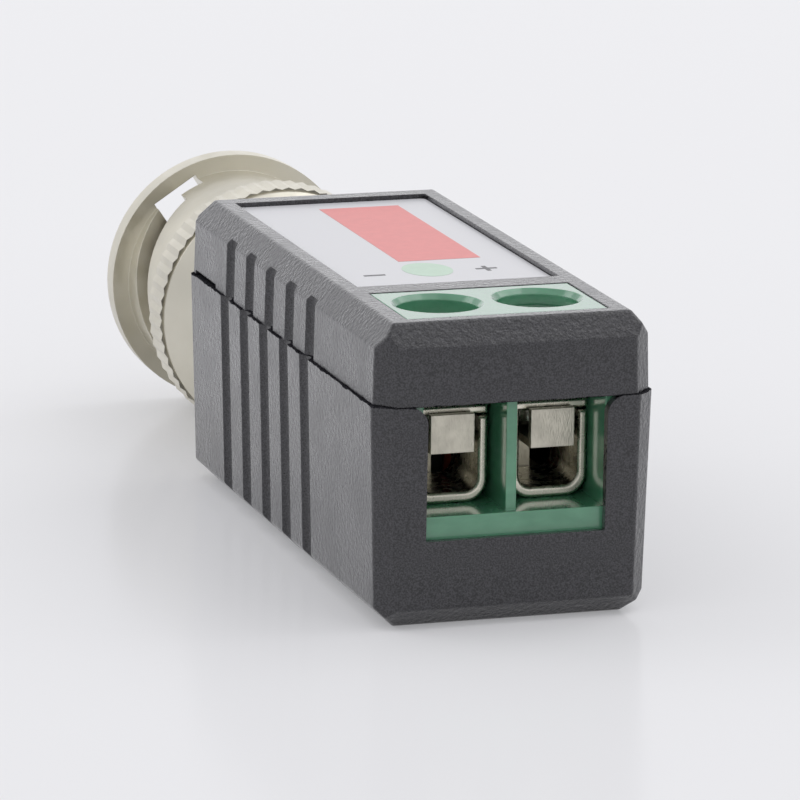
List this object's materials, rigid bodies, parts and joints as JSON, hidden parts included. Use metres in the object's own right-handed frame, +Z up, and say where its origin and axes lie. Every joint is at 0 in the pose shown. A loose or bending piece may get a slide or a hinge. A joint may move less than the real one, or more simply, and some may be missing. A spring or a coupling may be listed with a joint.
{
  "type": "video balun",
  "caption": "Slim black cased video balun with a bayonet coaxial plug at one end, a green screw terminal block at the other and finger grooves along its sides.",
  "frame": {"origin": "centre of the case's bottom face", "axes": "+Z up out of the case, +Y from the terminal block to the plug, along the plug's axis"},
  "size_m": [0.0142, 0.0508, 0.0149],
  "materials": {
    "case_plastic": "fine matt black ABS",
    "label_sheet": "white printed polyester label, soft satin",
    "terminal_plastic": "green moulded polyamide, satin",
    "nickel": "nickel plate over die-cast zinc, slightly dull",
    "cage_steel": "nickel-plated pressed steel strip",
    "contact_tin": "tinned brass strip",
    "screw_steel": "zinc-plated steel",
    "board_laminate": "green solder mask over glass laminate",
    "ferrite": "sintered ferrite",
    "copper_red": "red enamelled copper wire",
    "copper_amber": "amber enamelled copper wire",
    "ceramic": "ceramic dipped in brown resin",
    "chip_black": "black chip body with tinned ends",
    "chip_buff": "buff ceramic chip with tinned ends",
    "white_insulator": "white moulded insulator",
    "gold_plate": "gold-flashed brass",
    "spring_steel": "spring steel",
    "tinned_wire": "tinned copper",
    "silicone": "red-brown silicone rubber"
  },
  "bodies": {
    "case": {"bottom_shell": "case_plastic", "top_shell": "case_plastic", "label": "label_sheet", "terminal_block": "terminal_plastic", "contact_left": "contact_tin", "contact_right": "contact_tin", "circuit_board": "board_laminate", "balun_core": "ferrite", "winding_left": "copper_red", "winding_right": "copper_amber", "capacitor": "ceramic", "resistor": "chip_black", "surge_suppressor": "chip_buff", "plug_body": "nickel", "front_insulator": "white_insulator", "rear_insulator": "white_insulator", "centre_pin": "gold_plate", "ground_lug": "tinned_wire", "pin_lead": "tinned_wire", "retaining_ring": "spring_steel", "wave_spring": "spring_steel", "gasket": "silicone"},
    "washer": {"thrust_washer": "spring_steel"},
    "nut": {"coupling_nut": "nickel"},
    "screw_left": {"terminal_screw_left": "screw_steel"},
    "screw_right": {"terminal_screw_right": "screw_steel"},
    "cage_left": {"wire_cage_left": "cage_steel"},
    "cage_right": {"wire_cage_right": "cage_steel"}
  },
  "joints": [
    {"name": "nut_slide", "type": "slide", "parent": "case", "child": "washer", "axis": [0, 1, 0], "range_m": [0, 0.0007], "stiffness_N_per_m": 6000, "deforming": ["wave_spring"]},
    {"name": "nut_spin", "type": "hinge", "parent": "washer", "child": "nut", "pos_m": [0, 0.0276, 0.007], "axis": [0, 1, 0], "continuous": true},
    {"name": "screw_left_turn", "type": "hinge", "parent": "case", "child": "screw_left", "pos_m": [-0.00254, -0.01162, 0.00852], "axis": [0, 0, -1], "range_deg": [0, 1368.2]},
    {"name": "cage_left_rise", "type": "slide", "parent": "case", "child": "cage_left", "axis": [0, 0, 1], "range_m": [0, 0.0019]},
    {"name": "screw_right_turn", "type": "hinge", "parent": "case", "child": "screw_right", "pos_m": [0.00254, -0.01162, 0.00852], "axis": [0, 0, -1], "range_deg": [0, 1368.2]},
    {"name": "cage_right_rise", "type": "slide", "parent": "case", "child": "cage_right", "axis": [0, 0, 1], "range_m": [0, 0.0019]}
  ],
  "couplings": [
    {"joint": "screw_left_turn", "follows": "cage_left_rise", "rad_per_m": 12566},
    {"joint": "screw_right_turn", "follows": "cage_right_rise", "rad_per_m": 12566}
  ]
}
